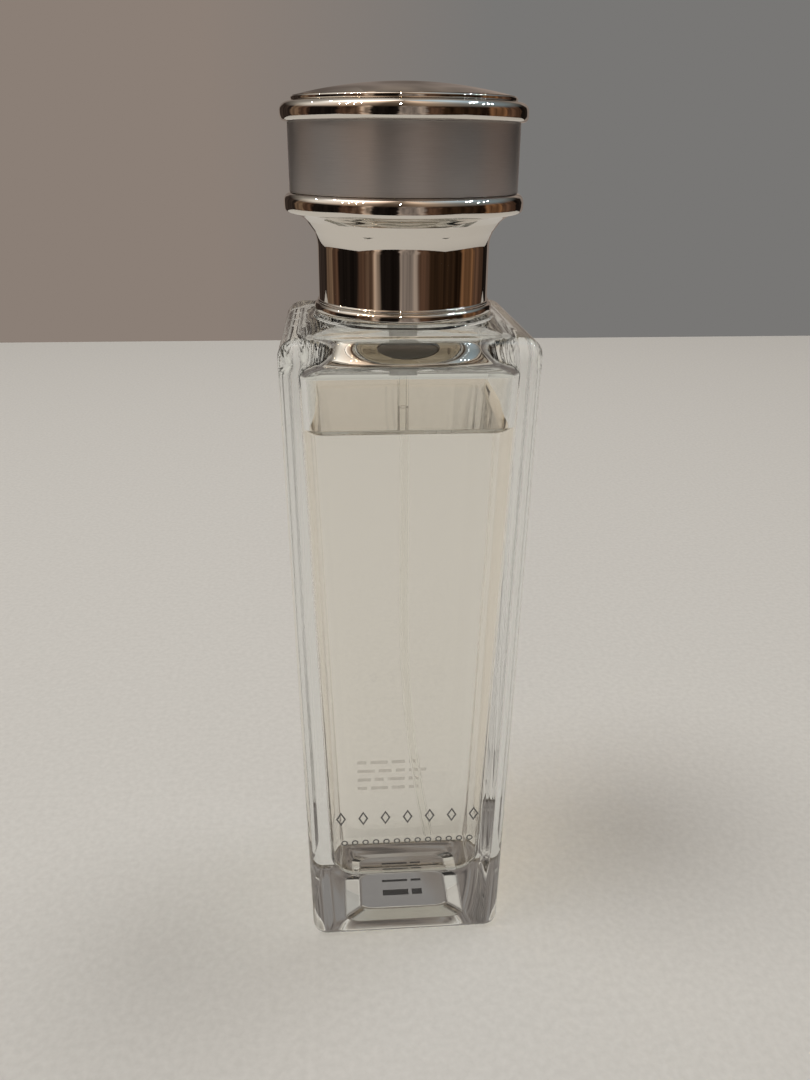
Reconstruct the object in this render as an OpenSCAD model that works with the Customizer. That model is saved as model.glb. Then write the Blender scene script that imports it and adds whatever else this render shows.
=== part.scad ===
// Square glass perfume bottle with a crimped spray pump and a lift-off chrome cap.
// +Z is up, the origin is the middle of the underside and the spray side faces -Y. Millimetres.

/* [Bottle] */
// Width and depth of the body just under the shoulder
body_top_w = 32.4; // [31.5:0.1:33.5]
// Width and depth of the body at the foot
body_foot_w = 30.0; // [29:0.1:31]
// Height of the shoulder above the foot
shoulder_z = 95.8; // [95.2:0.1:95.9]
// Radius of the upright edges and of the shoulder edge
edge_r = 2.5; // [1.5:0.1:3]
// Wall thickness under the shoulder
wall_top = 2.4; // [2:0.1:3]
// Wall thickness at the cavity floor
wall_foot = 3.2; // [2.8:0.1:4]
// Thickness of the solid glass base
base_h = 9.5; // [7:0.5:14]
// Height of the perfume above the foot
fill_z = 83.5; // [60:0.5:88]

/* [Pump] */
// Travel of the spray button
stroke = 3.2; // [2:0.1:3.2]
// Lift of the check ball off its seat
ball_lift = 0.5; // [0.3:0.1:0.6]
// Outer diameter of the dip tube
tube_d = 1.5; // [1.3:0.1:1.5]
// Height at which the dip tube starts to bend
tube_bend_z = 55; // [45:1:65]
// Radius of the dip tube's bend
tube_bend_r = 220; // [180:5:300]

/* [Cap] */
// Outer radius of the cap's lower neck
cap_neck_r = 11.12; // [11.12:0.02:11.3]
// Outer radius of the satin band
band_r = 14.42; // [14.3:0.02:14.42]
// Radius of the rim bead
rim_r = 15.3; // [15.1:0.1:15.6]
// Height of the dome over the edge of the top disc
dome_h = 1.75; // [1:0.05:2.5]

/* [Hidden] */
$fn = 96;
eps = 0.01;          // overrun of a cutter past the face that it cuts
hull_fn = 32;        // facets of a shape inside a hull
running = 0.05;      // radial clearance of a sliding or turning fit
slip = 0.05;         // gap between a filling and the wall around it

// Bottle
heel_r = 1.2;                          // rounding of the foot
boss_r = 12.0;                         // raised round landing under the collar
boss_z = shoulder_z + 0.7;
cavity_floor_r = 4.2;                  // rounding of the cavity's floor
cavity_corner_r = 3.0;                 // rounding of the cavity's upright corners at the roof
cavity_roof_z = shoulder_z - 4.9;      // height at which the cavity starts to dome
cavity_rise = 3.3;                     // rise of the dome from the walls to the bore
cavity_top_r = 5.3;                    // where the dome meets the bore
punt_w = 19;                           // recess in the underside
punt_h = 1.2;
bore_r = 4.7;                          // bore of the neck
neck_r = 6.6;
lip_r = 7.5;
lip_h = 2.8;
lip_top = boss_z + 7.2;
lip_edge_r = 0.5;

// Pump, stacked up from the glass lip
gasket_h = 0.7;
flange_z = lip_top + gasket_h;         // underside of the housing's flange
flange_h = 0.8;
flange_r = 7.2;
flange_top = flange_z + flange_h;
housing_r = 3.9;
barrel_r = 2.9;                        // bore that the piston slides in
barrel_z = lip_top - 6.9;              // floor of the barrel
ball_r = 0.9;
seat_r = 0.5;                          // edge of the valve seat
seat_z = barrel_z - 2 * ball_r - ball_lift - 0.2;
ball_z = seat_z + sqrt(ball_r * ball_r - seat_r * seat_r) + 0.02;
chamber_r = 1.1;
socket_h = 3.2;                        // socket that holds the dip tube
socket_r = 1.9;
socket_top = seat_z - 0.5;
socket_bottom = socket_top - socket_h;
housing_cone_h = 1.8;                  // taper between the socket and the housing
tube_bore = tube_d - 0.6;
tube_floor_gap = 2.2;                  // end of the dip tube above the cavity's floor
tube_bend = asin((tube_bend_z - base_h - tube_floor_gap) / tube_bend_r);
wire_r = 0.16;
coil_r = 2.2;
coil_turns = 4;
coil_steps = 20;                       // steps of one turn
wire_sides = 8;                        // sides of the wire
spring_z0 = barrel_z + 0.1;
piston_z = barrel_z + 4.9;
piston_h = 1.8;
piston_top = piston_z + piston_h;
spring_z1 = piston_z - 0.1;
stem_r = 1.6;
stem_spigot_r = 1.2;
stem_channel_r = 0.5;
seal_h = 0.4;
seal_z = piston_top + 0.1;
closure_z = seal_z + seal_h + 0.05;
closure_flange_r = 6.5;
closure_flange_h = 0.6;
nose_r = 3.3;
nose_top = flange_top + 2.0;
ferrule_r = 7.95;
ferrule_wall = 0.35;
ferrule_top = flange_top + closure_flange_h + ferrule_wall + 0.05;
clip_r = 8.45;
collar_r = 8.95;
collar_wall = 0.45;
collar_z0 = boss_z + 0.8;
collar_top = ferrule_top + 0.8;
collar_mouth_r = 6.8;

// Spray button
button_r = 6.35;
button_wall = 0.35;
button_z0 = ferrule_top + stroke + 0.35;
button_top = button_z0 + 6.2;
core_r = button_r - button_wall - slip;
core_top = button_top - 0.65;
hub_r = 2.6;
hub_z0 = nose_top + stroke + 0.3;
spray_z = core_top - 1.9;              // height of the spray jet
stem_top = spray_z - 0.6;
insert_r = 1.5;
insert_y = -core_r + 0.1;              // face of the spray insert
insert_len = 1.9;
jet_r = 0.15;

// Cap, stacked up from its lower edge
cap_z0 = boss_z + 0.3;
foot_bead_r = 0.65;
step_bead_r = 0.28;
cap_wall = 0.97;
skirt_bore_r = cap_neck_r - cap_wall;
cove_z0 = cap_z0 + 8.2;                // lower end of the cove
cove_r = 4.28;
cove_sweep = 78.6;                     // the cove turns a little less than a quarter circle
bead_r = 1.2;
bead_ring_r = band_r - 0.42;           // middle of the lower bead
band_z0 = cove_z0 + 6.5;
band_z1 = band_z0 + 8.0;
band_wall = 0.52;
spigot_h = 1.4;
spigot_r = band_r - band_wall - slip;
core_wall_r = spigot_r - 0.55;
cone_z1 = cove_z0 + 4.3;
insert_bore_r = collar_r + running;
insert_z0 = cap_z0 + 1.6;
insert_stop_z = collar_top + 0.2;
insert_stop_r = collar_r - 0.95;       // the stop reaches in over the flat of the collar's top
insert_stop_h = 0.9;
rim_bead_r = 1.1;
rim_z1 = band_z1 + 2 * rim_bead_r;
rim_bore_r = 11.0;
disc_r = 13.9;
disc_edge_h = 0.55;
disc_edge_r = 0.2;
plug_h = 1.15;                         // plug under the disc
dome_r = (disc_r * disc_r + dome_h * dome_h) / (2 * dome_h);

// Width of the outside at a height, along the straight taper
function outer_w(z) = body_foot_w + (body_top_w - body_foot_w) * z / shoulder_z;

// A tube from z0 to z1
module ring(r_out, r_in, z0, z1) {
    translate([0, 0, z0])
        difference() {
            cylinder(r = r_out, h = z1 - z0);
            translate([0, 0, -eps])
                cylinder(r = r_in, h = z1 - z0 + 2 * eps);
        }
}

// A rod from z0 to z1
module rod(r, z0, z1) {
    translate([0, 0, z0])
        cylinder(r = r, h = z1 - z0);
}

// Copies its child to the four corners of a square whose sides are w, inset by r
module at_corners(w, r) {
    for (sx = [-1, 1], sy = [-1, 1])
        translate([sx * (w / 2 - r), sy * (w / 2 - r), 0])
            children();
}

// Foot of one upright edge: a disc with a rounded lower rim
module corner_foot() {
    rotate_extrude($fn = hull_fn) {
        square([edge_r - heel_r, heel_r]);
        intersection() {
            translate([edge_r - heel_r, heel_r])
                circle(heel_r);
            square([edge_r, heel_r]);
        }
    }
}

module bottle_outside() {
    hull() {
        at_corners(body_foot_w, edge_r)
            corner_foot();
        at_corners(body_top_w, edge_r)
            translate([0, 0, shoulder_z - edge_r])
                sphere(edge_r, $fn = hull_fn);
        translate([0, 0, shoulder_z])
            cylinder(r = boss_r, h = boss_z - shoulder_z, $fn = 2 * hull_fn);
    }
}

// One level of the cavity's dome, at angle a round a quarter of an ellipse
module dome_level(a, gap) {
    roof_w = outer_w(cavity_roof_z) - 2 * wall_top;
    w = 2 * cavity_top_r + (roof_w - 2 * cavity_top_r) * cos(a);
    r = cavity_top_r + (cavity_corner_r - cavity_top_r) * pow(cos(a), 0.7);
    translate([0, 0, cavity_roof_z + cavity_rise * sin(a) - gap])
        at_corners(w, r)
            cylinder(r = r - gap, h = eps, $fn = hull_fn);
}

// The hollow inside the glass, shrunk by a gap on every side
module bottle_cavity(gap = 0) {
    floor_w = outer_w(base_h) - 2 * wall_foot;
    hull() {
        at_corners(floor_w, cavity_floor_r)
            translate([0, 0, base_h + cavity_floor_r])
                sphere(cavity_floor_r - gap, $fn = hull_fn);
        for (a = [0:15:75])
            dome_level(a, gap);
        translate([0, 0, cavity_roof_z + cavity_rise - gap])
            cylinder(r = cavity_top_r - gap, h = eps, $fn = 2 * hull_fn);
    }
}

// Shallow square recess in the underside, with sloping sides
module punt() {
    slope_w = 2;
    below = 1;
    hull() {
        at_corners(punt_w, edge_r)
            translate([0, 0, -below])
                cylinder(r = edge_r, h = below, $fn = hull_fn);
        at_corners(punt_w - 2 * slope_w, edge_r)
            cylinder(r = edge_r, h = punt_h, $fn = hull_fn);
    }
}

module glass_bottle() {
    color([0.86, 0.90, 0.88, 0.35])
        difference() {
            union() {
                bottle_outside();
                rod(neck_r, boss_z - 1, lip_top - lip_h + 0.5);
                rod(lip_r, lip_top - lip_h + lip_edge_r, lip_top - lip_edge_r);
                rod(lip_r - lip_edge_r, lip_top - lip_h, lip_top);
                for (z = [lip_top - lip_h + lip_edge_r, lip_top - lip_edge_r])
                    translate([0, 0, z])
                        rotate_extrude()
                            translate([lip_r - lip_edge_r, 0])
                                circle(lip_edge_r);
            }
            bottle_cavity();
            punt();
            rod(bore_r, cavity_roof_z, lip_top + 1);
        }
}

// Centre line of the dip tube thickened to radius r: upright, then a gentle bend towards +X
module tube_path(r, z_top, bend) {
    rod(r, tube_bend_z, z_top);
    translate([tube_bend_r, 0, tube_bend_z])
        rotate([90, 0, 0])
            rotate([0, 0, 180])
                rotate_extrude(angle = bend)
                    translate([tube_bend_r, 0])
                        circle(r);
}

module perfume_liquid() {
    color([0.93, 0.84, 0.74, 0.5])
        difference() {
            intersection() {
                bottle_cavity(gap = slip);
                translate([-body_top_w / 2, -body_top_w / 2, 0])
                    cube([body_top_w, body_top_w, fill_z]);
            }
            tube_path(tube_d / 2 + slip, fill_z + 1, tube_bend + 0.2);
        }
}

module dip_tube() {
    color([0.93, 0.93, 0.92, 0.6])
        difference() {
            tube_path(tube_d / 2, socket_top, tube_bend);
            tube_path(tube_bore / 2, socket_top + eps, tube_bend + 0.1);
        }
}

module neck_gasket() {
    color([0.93, 0.93, 0.92])
        ring(lip_r - 0.1, bore_r + 0.2, lip_top, lip_top + gasket_h);
}

module pump_housing() {
    color([0.92, 0.92, 0.9])
        difference() {
            union() {
                rod(flange_r, flange_z, flange_top);
                rod(housing_r, socket_top + housing_cone_h, flange_z + eps);
                translate([0, 0, socket_top])
                    cylinder(r1 = socket_r, r2 = housing_r, h = housing_cone_h);
                rod(socket_r, socket_bottom, socket_top + eps);
            }
            rod(barrel_r, barrel_z, flange_top + 1);
            rod(chamber_r, seat_z, barrel_z + eps);
            rod(seat_r, socket_top - eps, seat_z + eps);
            rod(tube_d / 2 + 0.01, socket_bottom - 1, socket_top);
        }
}

module check_ball() {
    color([0.75, 0.76, 0.78])
        translate([0, 0, ball_z])
            sphere(ball_r);
}

// Point j of the wire's section at step i of the helix
function coil_point(i, j) =
    let (turn = 360 * i / coil_steps)
    let (side = 360 * j / wire_sides)
    let (rise = spring_z1 - spring_z0 - 2 * wire_r)
    let (r = coil_r + wire_r * cos(side))
    let (z = spring_z0 + wire_r + rise * i / (coil_steps * coil_turns) + wire_r * sin(side))
    [r * cos(turn), r * sin(turn), z];

module return_spring() {
    last = coil_steps * coil_turns;
    points = [for (i = [0:last], j = [0:wire_sides - 1]) coil_point(i, j)];
    walls = [
        for (i = [0:last - 1], j = [0:wire_sides - 1])
            let (k = (j + 1) % wire_sides)
            [
                i * wire_sides + j,
                (i + 1) * wire_sides + j,
                (i + 1) * wire_sides + k,
                i * wire_sides + k
            ]
    ];
    start_cap = [for (j = [0:wire_sides - 1]) j];
    end_cap = [for (j = [wire_sides - 1:-1:0]) last * wire_sides + j];
    color([0.7, 0.71, 0.73])
        polyhedron(points = points, faces = concat(walls, [start_cap, end_cap]), convexity = 8);
}

// Piston with a sealing lip at each end
module pump_piston() {
    lip_t = 0.5;
    color([0.96, 0.96, 0.94])
        difference() {
            ring(barrel_r - running, stem_spigot_r + 0.01, piston_z, piston_top);
            ring(barrel_r, barrel_r - lip_t, piston_z + lip_t, piston_top - lip_t);
        }
}

// Hollow stem, with a cross hole under the piston that lets the perfume in
module pump_stem() {
    port_r = 0.2;
    port_z = piston_z + 0.3;
    color([0.94, 0.94, 0.93])
        difference() {
            union() {
                rod(stem_spigot_r, piston_z, piston_top + eps);
                rod(stem_r, piston_top, stem_top);
            }
            rod(stem_channel_r, port_z + port_r, stem_top + 1);
            translate([-barrel_r, 0, port_z])
                rotate([0, 90, 0])
                    cylinder(r = port_r, h = 2 * barrel_r);
        }
}

module stem_seal() {
    color([0.15, 0.15, 0.15])
        ring(barrel_r - 0.02, stem_r + running, seal_z, seal_z + seal_h);
}

module pump_closure() {
    color([0.9, 0.9, 0.88])
        difference() {
            union() {
                rod(barrel_r - 0.02, closure_z, flange_top + eps);
                rod(closure_flange_r, flange_top, flange_top + closure_flange_h);
                rod(nose_r, flange_top, nose_top);
            }
            rod(stem_r + running, closure_z - 1, nose_top + 1);
        }
}

// Aluminium ferrule, crimped over the flange and under the lip
module crimp_ferrule() {
    skirt_z0 = lip_top - lip_h - 0.6;
    color([0.78, 0.79, 0.8])
        union() {
            ring(ferrule_r, ferrule_r - ferrule_wall, skirt_z0, ferrule_top);
            ring(ferrule_r - 0.1, nose_r + 0.1, ferrule_top - ferrule_wall, ferrule_top);
            ring(ferrule_r - 0.1, neck_r + 0.3, skirt_z0, skirt_z0 + ferrule_wall);
        }
}

// Plastic sleeve between the ferrule and the collar, with ribs that steady it on the neck
module collar_clip() {
    rib_count = 12;
    rib_w = 0.5;
    rib_h = 2;
    rib_in_r = neck_r + 0.6;
    clip_z0 = collar_z0 + 0.3;
    catch_z1 = lip_top - lip_h - 0.7;
    color([0.9, 0.9, 0.9])
        union() {
            ring(clip_r, ferrule_r + 0.05, clip_z0, ferrule_top - 0.1);
            ring(clip_r, ferrule_r - 0.6, catch_z1 - 0.5, catch_z1);
            for (i = [0:rib_count - 1])
                rotate([0, 0, 360 * i / rib_count])
                    translate([rib_in_r, -rib_w / 2, clip_z0])
                        cube([clip_r - 0.2 - rib_in_r, rib_w, rib_h]);
        }
}

module collar_shell() {
    top_r = 0.6;
    color([0.80, 0.79, 0.77])
        rotate_extrude() {
            translate([collar_r - collar_wall, collar_z0])
                square([collar_wall, collar_top - top_r - collar_z0]);
            translate([collar_mouth_r, collar_top - collar_wall])
                square([collar_r - top_r - collar_mouth_r, collar_wall]);
            translate([collar_r - top_r, collar_top - top_r])
                intersection() {
                    difference() {
                        circle(top_r);
                        circle(top_r - collar_wall);
                    }
                    square(top_r);
                }
        }
}

// Everything of the spray channel that runs from the stem towards the jet
module spray_boss(r, y0, y1) {
    translate([0, y1, spray_z])
        rotate([90, 0, 0])
            cylinder(r = r, h = y1 - y0);
}

// Body of the button, pushed on to the stem
module button_core() {
    core_wall = 1.0;
    core_roof = 1.1;
    channel_r = 0.4;
    color([0.93, 0.93, 0.92])
        difference() {
            union() {
                ring(core_r, core_r - core_wall, button_z0, core_top);
                rod(core_r - core_wall / 2, core_top - core_roof, core_top);
                rod(hub_r, hub_z0, core_top);
                intersection() {
                    spray_boss(insert_r + 0.8, -core_r, 0);
                    rod(core_r, button_z0, core_top);
                }
            }
            rod(stem_r + 0.02, hub_z0 - 1, stem_top + 0.05);
            rod(stem_channel_r, stem_top, spray_z);
            spray_boss(channel_r, insert_y, 0);
            spray_boss(insert_r + 0.01, -core_r - 1, insert_y + insert_len);
        }
}

// Nozzle of the spray: a cup with a dished face and the jet in its middle
module spray_insert() {
    swirl_r = 0.9;
    face_t = 0.5;
    dish_r = 1.1;
    dish_depth = 0.2;
    color([0.98, 0.98, 0.97])
        difference() {
            spray_boss(insert_r, insert_y, insert_y + insert_len);
            spray_boss(swirl_r, insert_y + face_t, insert_y + insert_len + eps);
            spray_boss(jet_r, insert_y - eps, insert_y + 2 * face_t);
            translate([0, insert_y + dish_depth - dish_r, spray_z])
                sphere(dish_r);
        }
}

// Silver cover of the button, dished on top for the fingertip
module button_shell() {
    dish_r = 16;
    dish_depth = 0.5;
    top_edge_r = 0.5;
    window_r = 1.9;                    // hole in front of the nozzle
    color([0.80, 0.79, 0.77])
        difference() {
            union() {
                rod(button_r, button_z0, button_top - top_edge_r);
                rod(button_r - top_edge_r, button_top - top_edge_r, button_top);
                translate([0, 0, button_top - top_edge_r])
                    rotate_extrude()
                        translate([button_r - top_edge_r, 0])
                            circle(top_edge_r);
            }
            rod(button_r - button_wall, button_z0 - 1, core_top + 0.02);
            translate([0, 0, button_top - dish_depth + dish_r])
                sphere(dish_r);
            spray_boss(window_r, -button_r - 1, -core_r + 0.5);
        }
}

// Outline of one bead in the plane of revolution
module bead(ring_r, z, r) {
    translate([ring_r, z])
        circle(r);
}

// Chrome neck of the cap: foot bead, step, straight neck, cove, and the bead below the satin band
module cap_skirt() {
    cove_steps = 24;
    cove_x = cap_neck_r + cove_r;
    cove = [
        for (i = [0:cove_steps])
            let (a = 180 - cove_sweep * i / cove_steps)
            [cove_x + cove_r * cos(a), cove_z0 + cove_r * sin(a)]
    ];
    bead_z = band_z0 - bead_r;
    bore_top_r = core_wall_r + slip;
    color([0.75, 0.73, 0.71])
        rotate_extrude() {
            polygon(concat(
                [[skirt_bore_r, cap_z0 + 0.1], [cap_neck_r, cap_z0 + 0.1]],
                cove,
                [[bead_ring_r, bead_z], [bead_ring_r, band_z0], [spigot_r, band_z0],
                 [spigot_r, band_z0 + spigot_h], [bore_top_r, band_z0 + spigot_h],
                 [bore_top_r, cone_z1], [skirt_bore_r, cove_z0]]
            ));
            bead(cap_neck_r - 0.05, cap_z0 + foot_bead_r, foot_bead_r);
            bead(cap_neck_r, cap_z0 + 2 * foot_bead_r + 0.7 * step_bead_r, step_bead_r);
            intersection() {
                bead(bead_ring_r, bead_z, bead_r);
                translate([bore_top_r, bead_z - bead_r])
                    square([2 * bead_r + eps, 2 * bead_r]);
            }
        }
}

// Plastic sleeve that grips the collar, with a stop ring that lands on it
module cap_insert() {
    cone_slope = (core_wall_r - skirt_bore_r) / (cone_z1 - cove_z0);
    stop_out_r = skirt_bore_r + cone_slope * (insert_stop_z - cove_z0) - 0.15;
    color([0.88, 0.88, 0.87])
        union() {
            ring(skirt_bore_r - slip, insert_bore_r, insert_z0, insert_stop_z);
            ring(stop_out_r, insert_stop_r, insert_stop_z, insert_stop_z + insert_stop_h);
        }
}

// Inner can that carries the band and the top
module cap_core() {
    wall_in_r = 12.0;
    foot_in_r = 9.6;
    foot_z = insert_stop_z + insert_stop_h + 0.05;
    core_top_z = band_z1 - 0.1;
    color([0.86, 0.86, 0.85])
        union() {
            ring(wall_in_r + 0.45, foot_in_r, foot_z, cone_z1 + 0.3);
            ring(core_wall_r, wall_in_r, cone_z1, core_top_z);
            ring(spigot_r, wall_in_r, band_z0 + spigot_h + 0.1, core_top_z);
        }
}

module satin_band() {
    color([0.62, 0.58, 0.58])
        ring(band_r, band_r - band_wall, band_z0, band_z1);
}

// Rim bead, with a spigot that plugs into the inner can
module cap_rim() {
    rim_spigot_wall = 0.95;
    rim_spigot_h = 1.6;
    color([0.75, 0.73, 0.71])
        rotate_extrude() {
            bead(rim_r - rim_bead_r, band_z1 + rim_bead_r, rim_bead_r);
            translate([rim_bore_r, band_z1])
                square([rim_r - rim_bead_r - rim_bore_r, 2 * rim_bead_r]);
            translate([rim_bore_r, band_z1 - rim_spigot_h])
                square([rim_spigot_wall, rim_spigot_h + eps]);
        }
}

module cap_disc() {
    edge_z = rim_z1 + 0.03;
    dome_z = edge_z + disc_edge_h;
    color([0.77, 0.75, 0.73])
        union() {
            rod(rim_bore_r - slip, edge_z - plug_h, edge_z + eps);
            rod(disc_r - disc_edge_r, edge_z, dome_z);
            rod(disc_r, edge_z + disc_edge_r, dome_z - disc_edge_r);
            for (z = [edge_z + disc_edge_r, dome_z - disc_edge_r])
                translate([0, 0, z])
                    rotate_extrude()
                        translate([disc_r - disc_edge_r, 0])
                            circle(disc_edge_r);
            intersection() {
                translate([0, 0, dome_z + dome_h - dome_r])
                    sphere(dome_r, $fn = 4 * $fn);
                rod(disc_r - disc_edge_r, edge_z + disc_edge_r, dome_z + dome_h + 1);
            }
        }
}

glass_bottle();
perfume_liquid();
dip_tube();
neck_gasket();
pump_housing();
check_ball();
return_spring();
pump_piston();
pump_stem();
stem_seal();
pump_closure();
crimp_ferrule();
collar_clip();
collar_shell();
button_core();
spray_insert();
button_shell();
cap_skirt();
cap_insert();
cap_core();
satin_band();
cap_rim();
cap_disc();
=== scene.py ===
"""Square glass perfume bottle with a chrome cap: the looks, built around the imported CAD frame.

Metres, +Z up, the same frame as the CAD model. The spray side faces -Y.
"""
import math

import bmesh
import bpy
from mathutils import Matrix, Vector


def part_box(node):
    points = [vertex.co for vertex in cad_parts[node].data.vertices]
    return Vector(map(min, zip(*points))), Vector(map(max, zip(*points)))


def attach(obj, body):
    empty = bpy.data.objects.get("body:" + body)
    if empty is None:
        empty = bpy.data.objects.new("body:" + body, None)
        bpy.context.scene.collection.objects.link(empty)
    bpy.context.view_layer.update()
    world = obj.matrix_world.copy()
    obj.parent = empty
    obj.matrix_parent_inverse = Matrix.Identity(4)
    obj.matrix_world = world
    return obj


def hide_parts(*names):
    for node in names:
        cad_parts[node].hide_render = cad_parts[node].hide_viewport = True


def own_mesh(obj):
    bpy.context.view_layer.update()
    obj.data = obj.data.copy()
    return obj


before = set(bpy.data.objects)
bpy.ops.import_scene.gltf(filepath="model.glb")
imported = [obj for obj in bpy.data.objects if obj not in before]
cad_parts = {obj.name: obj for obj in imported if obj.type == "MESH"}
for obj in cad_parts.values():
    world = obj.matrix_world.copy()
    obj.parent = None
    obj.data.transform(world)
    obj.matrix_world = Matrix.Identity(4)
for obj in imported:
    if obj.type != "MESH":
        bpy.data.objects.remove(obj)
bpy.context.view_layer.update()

MM = 0.001


def low(node):
    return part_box(node)[0]


def high(node):
    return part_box(node)[1]


# ---------------------------------------------------------------- mesh helpers


def mix(a, b, t):
    return a + (b - a) * t


def even(a, b, steps):
    """Evenly spaced values from a to b, both ends included."""
    return [mix(a, b, i / steps) for i in range(steps + 1)]


def sweep(start, end, steps):
    """The sine and cosine of evenly spaced angles, with the ends in degrees."""
    return [(math.sin(math.radians(a)), math.cos(math.radians(a))) for a in even(start, end, steps)]


def arc(centre, radius, start, end, steps):
    """Points (r, z) along an arc in the plane of revolution, with the angles in degrees."""
    points = []
    for i in range(steps + 1):
        a = math.radians(start + (end - start) * i / steps)
        points.append((centre[0] + radius * math.cos(a), centre[1] + radius * math.sin(a)))
    return points


def bead(ring_r, middle_z, radius, start, end, steps):
    """Points (r, z) round a bead that is flatter below the middle, where it tucks in, than above it."""
    points = []
    for i in range(steps + 1):
        a = math.radians(start + (end - start) * i / steps)
        c, s = math.cos(a), math.sin(a)
        flat = 3.6 if s < 0 else 2.2
        far = radius / (abs(c) ** flat + abs(s) ** flat) ** (1 / flat)
        points.append((ring_r + far * c, middle_z + far * s))
    return points


def new_piece(name, vertices, faces, body, materials, finishes=None, crease=40):
    """A closed, smooth-shaded mesh that rides on a CAD body.
    finishes holds one material index a face. crease is in degrees."""
    mesh = bpy.data.meshes.new(name)
    mesh.from_pydata([tuple(v) for v in vertices], [], faces)
    for material in materials:
        mesh.materials.append(material)
    if finishes:
        mesh.polygons.foreach_set("material_index", finishes)
    bm = bmesh.new()
    bm.from_mesh(mesh)
    bmesh.ops.remove_doubles(bm, verts=bm.verts, dist=1e-7)
    bmesh.ops.recalc_face_normals(bm, faces=bm.faces)
    bm.to_mesh(mesh)
    bm.free()
    mesh.polygons.foreach_set("use_smooth", [True] * len(mesh.polygons))
    mesh.set_sharp_from_angle(angle=math.radians(crease))
    piece = bpy.data.objects.new(name, mesh)
    bpy.context.scene.collection.objects.link(piece)
    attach(piece, body)
    return piece


LATHE_STEPS = 192


def lathe(name, outline, body, material):
    """A closed outline of (r, z) points turned about the Z axis."""
    count = len(outline)
    vertices = []
    for i in range(LATHE_STEPS):
        turn = 2 * math.pi * i / LATHE_STEPS
        for r, z in outline:
            vertices.append((r * math.cos(turn), r * math.sin(turn), z))
    faces = []
    for i in range(LATHE_STEPS):
        here, there = i * count, (i + 1) % LATHE_STEPS * count
        for k in range(count):
            n = (k + 1) % count
            if outline[k][0] > 0 or outline[n][0] > 0:
                faces.append((here + k, there + k, there + n, here + n))
    return new_piece(name, vertices, faces, body, [material])


def ring_angles():
    """Polar angles of the points round a rounded square, closer together near the corners."""
    first = [3.75 * i for i in range(8)]
    corner = [30 + 0.75 * i for i in range(40)]
    last = [60 + 3.75 * i for i in range(8)]
    quarter = first + corner + last
    return [math.radians(a + 90 * q) for q in range(4) for a in quarter]


ANGLES = ring_angles()


def reach(half, corner, angle):
    """Distance from the middle to the edge of a rounded square at a polar angle."""
    c, s = abs(math.cos(angle)), abs(math.sin(angle))
    c, s = max(c, s), min(c, s)
    corner = min(max(corner, 0.0), half)
    k = half - corner
    if half * s / c <= k:
        return half / c
    return k * (c + s) + math.sqrt(max(k * k * (c + s) ** 2 - 2 * k * k + corner * corner, 0))


def loft(name, rings, body, materials, wobble):
    """Rounded-square rings (half, corner, z, finish) skinned into one closed solid.
    finish is the material of the strip from that ring to the next. wobble(angle, z, finish)
    moves the surface outwards by a little, as moulded glass is never quite flat."""
    vertices, faces, finishes = [], [], []
    count = len(ANGLES)
    for half, corner, z, finish in rings:
        for a in ANGLES:
            r = reach(half, corner, a) + wobble(a, z, finish)
            vertices.append((r * math.cos(a), r * math.sin(a), z))
    for i in range(len(rings) - 1):
        for k in range(count):
            n = (k + 1) % count
            faces.append((i * count + k, i * count + n, (i + 1) * count + n, (i + 1) * count + k))
            finishes.append(rings[i][3])
    last = (len(rings) - 1) * count
    faces.append(tuple(range(count)))
    finishes.append(rings[0][3])
    faces.append(tuple(range(last + count - 1, last - 1, -1)))
    finishes.append(rings[-1][3])
    return new_piece(name, vertices, faces, body, materials, finishes, crease=50)


def coil(name, coil_r, wire_r, z0, z1, turns, body, material):
    """A round wire wound about the Z axis from z0 to z1."""
    steps, sides = 40, 12
    vertices, faces = [], []
    last = steps * turns
    for i in range(last + 1):
        turn = 2 * math.pi * i / steps
        middle = mix(z0 + wire_r, z1 - wire_r, i / last)
        for j in range(sides):
            a = 2 * math.pi * j / sides
            r = coil_r + wire_r * math.cos(a)
            vertices.append((r * math.cos(turn), r * math.sin(turn), middle + wire_r * math.sin(a)))
    for i in range(last):
        for j in range(sides):
            k = (j + 1) % sides
            faces.append((i * sides + j, (i + 1) * sides + j, (i + 1) * sides + k, i * sides + k))
    faces.append(tuple(range(sides)))
    faces.append(tuple(range(last * sides, (last + 1) * sides)))
    return new_piece(name, vertices, faces, body, [material])


# ---------------------------------------------------------------- materials

NOISE_LOW, NOISE_HIGH = 0.3, 0.7      # the middle range of a noise


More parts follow.
